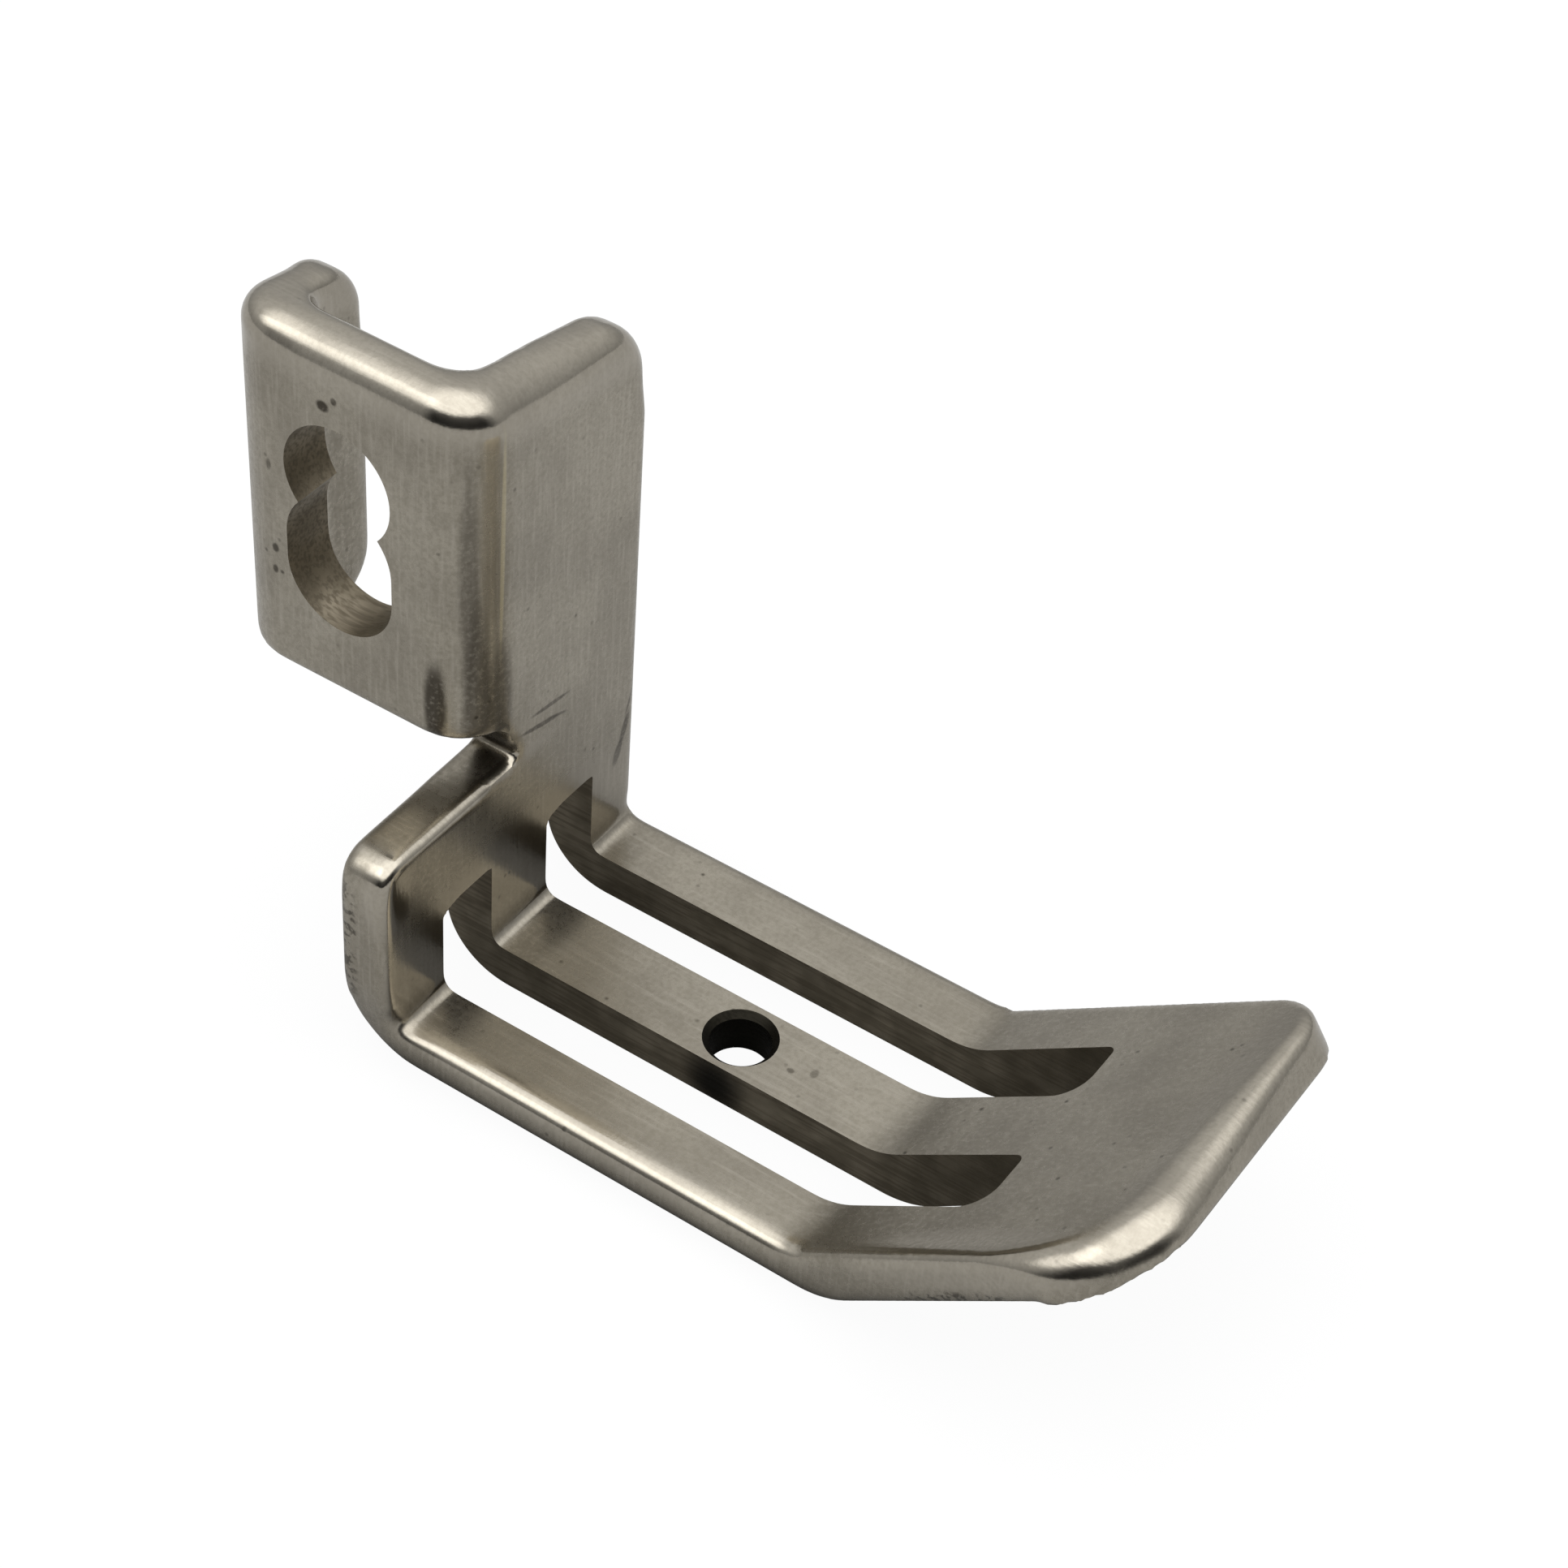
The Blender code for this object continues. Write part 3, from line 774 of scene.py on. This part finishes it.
mottle = new("TexNoise", Vector=place, Scale=per_mm(3.2), Detail=2.0)
grain = new("TexNoise", Vector=place, Scale=per_mm(0.20), Detail=4.0, Roughness=0.65)
along_tine = new("TexNoise", Scale=per_mm(0.16),
                 Vector=new("Mapping", Vector=place, Scale=(1.0, 0.07, 1.0)))
down_wall = new("TexNoise", Scale=per_mm(0.16),
                Vector=new("Mapping", Vector=place, Scale=(1.0, 1.0, 0.07)))
brushed = new("Mix", _0=upright, _2=along_tine, _3=down_wall)
colour = new("Mix", out=2, data_type="RGBA", _6=linear(NICKEL), _7=linear("#A39D90"),
             _0=new("MapRange", Value=mottle, From_Min=0.35, From_Max=0.65))
colour = new("Mix", out=2, data_type="RGBA", _6=colour, _7=linear("#7D776A"),
             _0=new("MapRange", Value=grain, From_Min=0.42, From_Max=0.62, To_Max=0.40))
colour = new("Mix", out=2, data_type="RGBA", _6=colour, _7=linear("#B4AEA2"),
             _0=new("MapRange", Value=brushed, From_Min=0.50, From_Max=0.72, To_Max=0.35))

# tarnish and painted shade: the colour turns darker brown where the surface is hidden in hollows and corners
hollows_tarnish_and_painted_shade = new("AmbientOcclusion", out="AO", samples=8, Distance=2.2 * MM)
colour = new("Mix", out=2, data_type="RGBA", _6=colour, _7=linear("#4A4336"),
             _0=new("MapRange", Value=hollows_tarnish_and_painted_shade, From_Min=0.75, From_Max=0.25, To_Max=0.7))
patchy = new("MapRange", Value=grain, From_Min=0.30, From_Max=0.50, To_Min=0.65, To_Max=1.0)
# real stains and scratches, and from the same list painted shade and a painted dark reflection, all darkened
# towards one brown
for centre, radii, turn, strength in STAINS_AND_PAINTED_SHADE + SCRATCHES:
    dark_mark = new("Math", operation="MULTIPLY", _0=mark(new, place, centre, radii, turn, strength), _1=patchy)
    colour = new("Mix", out=2, data_type="RGBA", _0=dark_mark, _6=colour, _7=linear("#332D24"))

dots = new("TexVoronoi", out="Distance", Vector=place, Scale=per_mm(0.75))
clusters = new("MapRange", From_Min=0.50, From_Max=0.66,
               Value=new("TexNoise", Vector=place, Scale=per_mm(1.6)))
pits = new("Math", operation="MULTIPLY", _0=clusters,
           _1=new("MapRange", Value=dots, From_Min=0.16, From_Max=0.06))
crumbs = new("MapRange", From_Min=0.50, From_Max=0.60,
             Value=new("TexNoise", Vector=place, Scale=per_mm(0.32), Detail=3.0))
dirty = new("Math", operation="MAXIMUM", _0=mark(new, place, *SPECKLED_TOE),
            _1=mark(new, place, *SPECKLED_HEEL))
speckled = new("Math", operation="MULTIPLY", _0=crumbs, _1=dirty)
pits = new("Math", operation="MAXIMUM", _0=pits, _1=speckled)
colour = new("Mix", out=2, data_type="RGBA", _6=colour, _7=linear("#39342B"),
             _0=new("Math", operation="MULTIPLY", _0=pits, _1=0.75))
# painted highlight: a pale line down the clamp's front corner
colour = new("Mix", out=2, data_type="RGBA", _0=mark(new, place, *PAINTED_HIGHLIGHT_LINE), _6=colour,
             _7=linear("#D8CDA8"))

# the rim is the part of the clamp above a sloping plane
level = new("VectorMath", out="Value", operation="DOT_PRODUCT", _0=place, _1=(RIM_FALL, -RIM_RISE, 1.0))
rim_top = CLAMP_TOP + RIM_FALL * CLAMP_LEFT - RIM_RISE * HEEL_Y
polish = new("MapRange", Value=level, From_Min=(rim_top - 2.3) * MM, From_Max=(rim_top - 1.4) * MM)
for centre, radii, turn, strength in RUBBED:
    polish = new("Math", operation="MAXIMUM", _0=polish, _1=mark(new, place, centre, radii, turn, strength))
colour = new("Mix", out=2, data_type="RGBA", _6=colour, _7=linear("#B5AFA3"),
             _0=new("Math", operation="MULTIPLY", _0=polish, _1=0.35))

gloss = new("MapRange", Value=grain, From_Min=0.30, From_Max=0.70, To_Min=0.24, To_Max=0.36)
gloss = new("Mix", _0=polish, _2=gloss, _3=0.15)
height = new("Math", operation="ADD", _0=grain, _1=brushed)
height = new("Math", operation="SUBTRACT", _0=height, _1=pits)
bumps = new("Bump", Strength=0.3, Distance=0.010 * MM, Height=height)
shader = new("BsdfPrincipled", Base_Color=colour, Metallic=1.0, Roughness=gloss, Normal=bumps)
new("OutputMaterial", Surface=shader)
print(nickel.name, "has", len(nickel.node_tree.nodes), "nodes")

# %% [markdown]
# ## The milled walls
#
# An end mill leaves fine ridges along its path, and tarnish settles in them. Real ridges are a few
# hundredths of a millimetre apart; here they are drawn 0.14 mm apart, so that they show. The walls read as
# brown-grey, much darker than the outside and hardly glossy. The small hole's wall gets painted shade,
# so it is nearly black.

# %% Milled nickel
new = start(milled)
place = new("TexCoord", out="Object")
ridges = new("TexNoise", Vector=new("Mapping", Vector=place, Scale=(1.0, 0.06, 1.0)), Scale=per_mm(0.14))
patches = new("TexNoise", Vector=place, Scale=per_mm(1.4))
colour = new("Mix", out=2, data_type="RGBA", _6=linear("#7C7464"), _7=linear("#958C7B"),
             _0=new("MapRange", Value=patches, From_Min=0.40, From_Max=0.65))
colour = new("Mix", out=2, data_type="RGBA", _6=colour, _7=linear("#5A5244"),
             _0=new("MapRange", Value=ridges, From_Min=0.45, From_Max=0.62, To_Max=0.5))
# painted shade: the small hole's wall is darkened nearly to black
painted_shade_in_hole = mark(new, place, (0, HOLE_Y, 0.8), (2.4, 2.4, 2.6), strength=0.95, firm=0.3)
colour = new("Mix", out=2, data_type="RGBA", _0=painted_shade_in_hole, _6=colour, _7=linear("#12120F"))
gloss = new("MapRange", Value=ridges, From_Min=0.30, From_Max=0.70, To_Min=0.42, To_Max=0.58)
bumps = new("Bump", Strength=0.5, Distance=0.012 * MM, Height=ridges)
shader = new("BsdfPrincipled", Base_Color=colour, Metallic=1.0, Roughness=gloss, Normal=bumps)
new("OutputMaterial", Surface=shader)
print(milled.name, "has", len(milled.node_tree.nodes), "nodes")

# %% [markdown]
# ## The painted glint on the broken edges
#
# The broken edges of the slots carry a painted glint: their colour is brighter than the rest, in a line
# that comes and goes.

# %% Painted glint on the broken edges
new = start(arris_glint)
place = new("TexCoord", out="Object")
wear = new("TexNoise", Vector=place, Scale=per_mm(1.1))
# painted glint: brighter colours in a line that comes and goes
colour = new("Mix", out=2, data_type="RGBA", _6=linear("#A09A8C"), _7=linear("#D6D0C2"),
             _0=new("MapRange", Value=wear, From_Min=0.38, From_Max=0.60))
gloss = new("MapRange", Value=wear, From_Min=0.38, From_Max=0.60, To_Min=0.34, To_Max=0.20)
shader = new("BsdfPrincipled", Base_Color=colour, Metallic=1.0, Roughness=gloss)
new("OutputMaterial", Surface=shader)
print(arris_glint.name, "has", len(arris_glint.node_tree.nodes), "nodes")

# %% [markdown]
# The finished foot stands for the frame's plain solid of the same name. It has no moving part, so it rides
# on the frame's one body.

# %% Hand the foot to the frame
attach(foot, "root")
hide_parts("presser_foot")
print("foot plated, with materials", [slot.material.name for slot in foot.material_slots])

# %% [markdown]
# ## Floor, light and camera
#
# The floor is white paper. Lights in a light tent reach it from all sides, so to the eye it is plain white
# with a faint shadow, while in the metal it mirrors as a softer grey, with a painted shadow that darkens it
# near the foot. A Light Path node keeps the two apart.

# %% Floor
mesh = bmesh.new()
bmesh.ops.create_circle(mesh, cap_ends=True, segments=64, radius=1.5)     # metres, far larger than the foot
floor = add_object("floor", mesh)
paper = bpy.data.materials.new("white_paper")
new = start(paper)
open_sky = new("AmbientOcclusion", out="AO", samples=8, Distance=16 * MM)
# painted shadow: the floor's colour turns darker grey where the foot hides it
floor_tone_with_painted_shadow = new("Mix", out=2, data_type="RGBA", _6=linear("#646464"), _7=linear("#B4B4B4"),
           _0=new("MapRange", Value=open_sky, From_Min=0.45, From_Max=0.95))
seen = new("MapRange", Value=new("LightPath", out="Is Camera Ray"), To_Max=0.90)
both = new("MixShader", _0=seen, _1=new("BsdfDiffuse", Color=floor_tone_with_painted_shadow), _2=new("Emission", Strength=1.06))
new("OutputMaterial", Surface=both)
floor.data.materials.append(paper)
print("floor laid,", round(floor.dimensions.x, 1), "m across")

# %% [markdown]
# The light comes from a tent: a large soft sheet overhead, brightest on the near side, a second, smaller
# light high behind it, and darkness low down on the near side, where nothing is lit. That low dark band is
# what draws the thin black lines under the bright ones on every rounded edge. The camera itself sees plain
# white behind the foot.

# %% Light tent
world = bpy.data.worlds.new("light_tent")
new = start(world)
toward = new("TexCoord", out="Generated")
rise = new("VectorMath", out="Value", operation="DOT_PRODUCT", _0=toward, _1=(0, 0, 1))


def facing(direction, none, full, most):
    """`most` within the angle `full` of a direction, falling smoothly to 0 at the angle `none`."""
    aim = Vector(direction).normalized()
    return new("MapRange", interpolation_type="SMOOTHSTEP", From_Min=math.cos(math.radians(none)),
               From_Max=math.cos(math.radians(full)), To_Max=most,
               Value=new("VectorMath", out="Value", operation="DOT_PRODUCT", _0=toward, _1=aim))


glow = new("MapRange", Value=rise, From_Max=0.7, To_Min=0.50, To_Max=1.10)
glow = new("Math", operation="ADD", _0=glow, _1=facing((-0.30, -0.30, 0.90), 64, 30, 1.9))
glow = new("Math", operation="ADD", _0=glow, _1=facing((-0.60, 0.41, 0.68), 24, 8, 1.4))
low_down = new("MapRange", Value=rise, From_Min=0.62, From_Max=0.46)
shade = new("Math", operation="MULTIPLY", _0=facing((-0.77, -0.64, 0.0), 76, 46, 0.95), _1=low_down)
glow = new("Math", operation="MULTIPLY", _0=glow, _1=new("Math", operation="SUBTRACT", _0=1.0, _1=shade))
both = new("MixShader", _0=new("LightPath", out="Is Camera Ray"), _1=new("Background", Strength=glow),
           _2=new("Background", Color=linear("#FFFFFF")))
new("OutputWorld", Surface=both)
bpy.context.scene.world = world
bpy.context.scene.view_settings.view_transform = "Standard"
print("light tent has", len(world.node_tree.nodes), "nodes")

# %% [markdown]
# The camera looks down on the foot from in front, on the near side, through a long lens, so that parallel
# edges stay nearly parallel. A small shift puts the foot in the middle of the frame without turning the
# camera.

# %% Camera
camera_data = bpy.data.cameras.new("camera")
camera_data.lens = 77.28
camera_data.sensor_width = 36
camera_data.shift_x = 0.1125
camera_data.shift_y = 0.0272
camera_data.clip_start = 0.005
camera_data.clip_end = 10
camera = bpy.data.objects.new("camera", camera_data)
camera.location = Vector((-73.577, HEEL_Y - 54.512, 94.083)) * MM
camera.rotation_euler = Euler([math.radians(a) for a in (46.346, -1.623, -53.982)])
bpy.context.scene.collection.objects.link(camera)
bpy.context.scene.camera = camera
print("camera", round((camera.location - TIP * MM).length, 3), "m from the toe, lens", camera_data.lens, "mm")
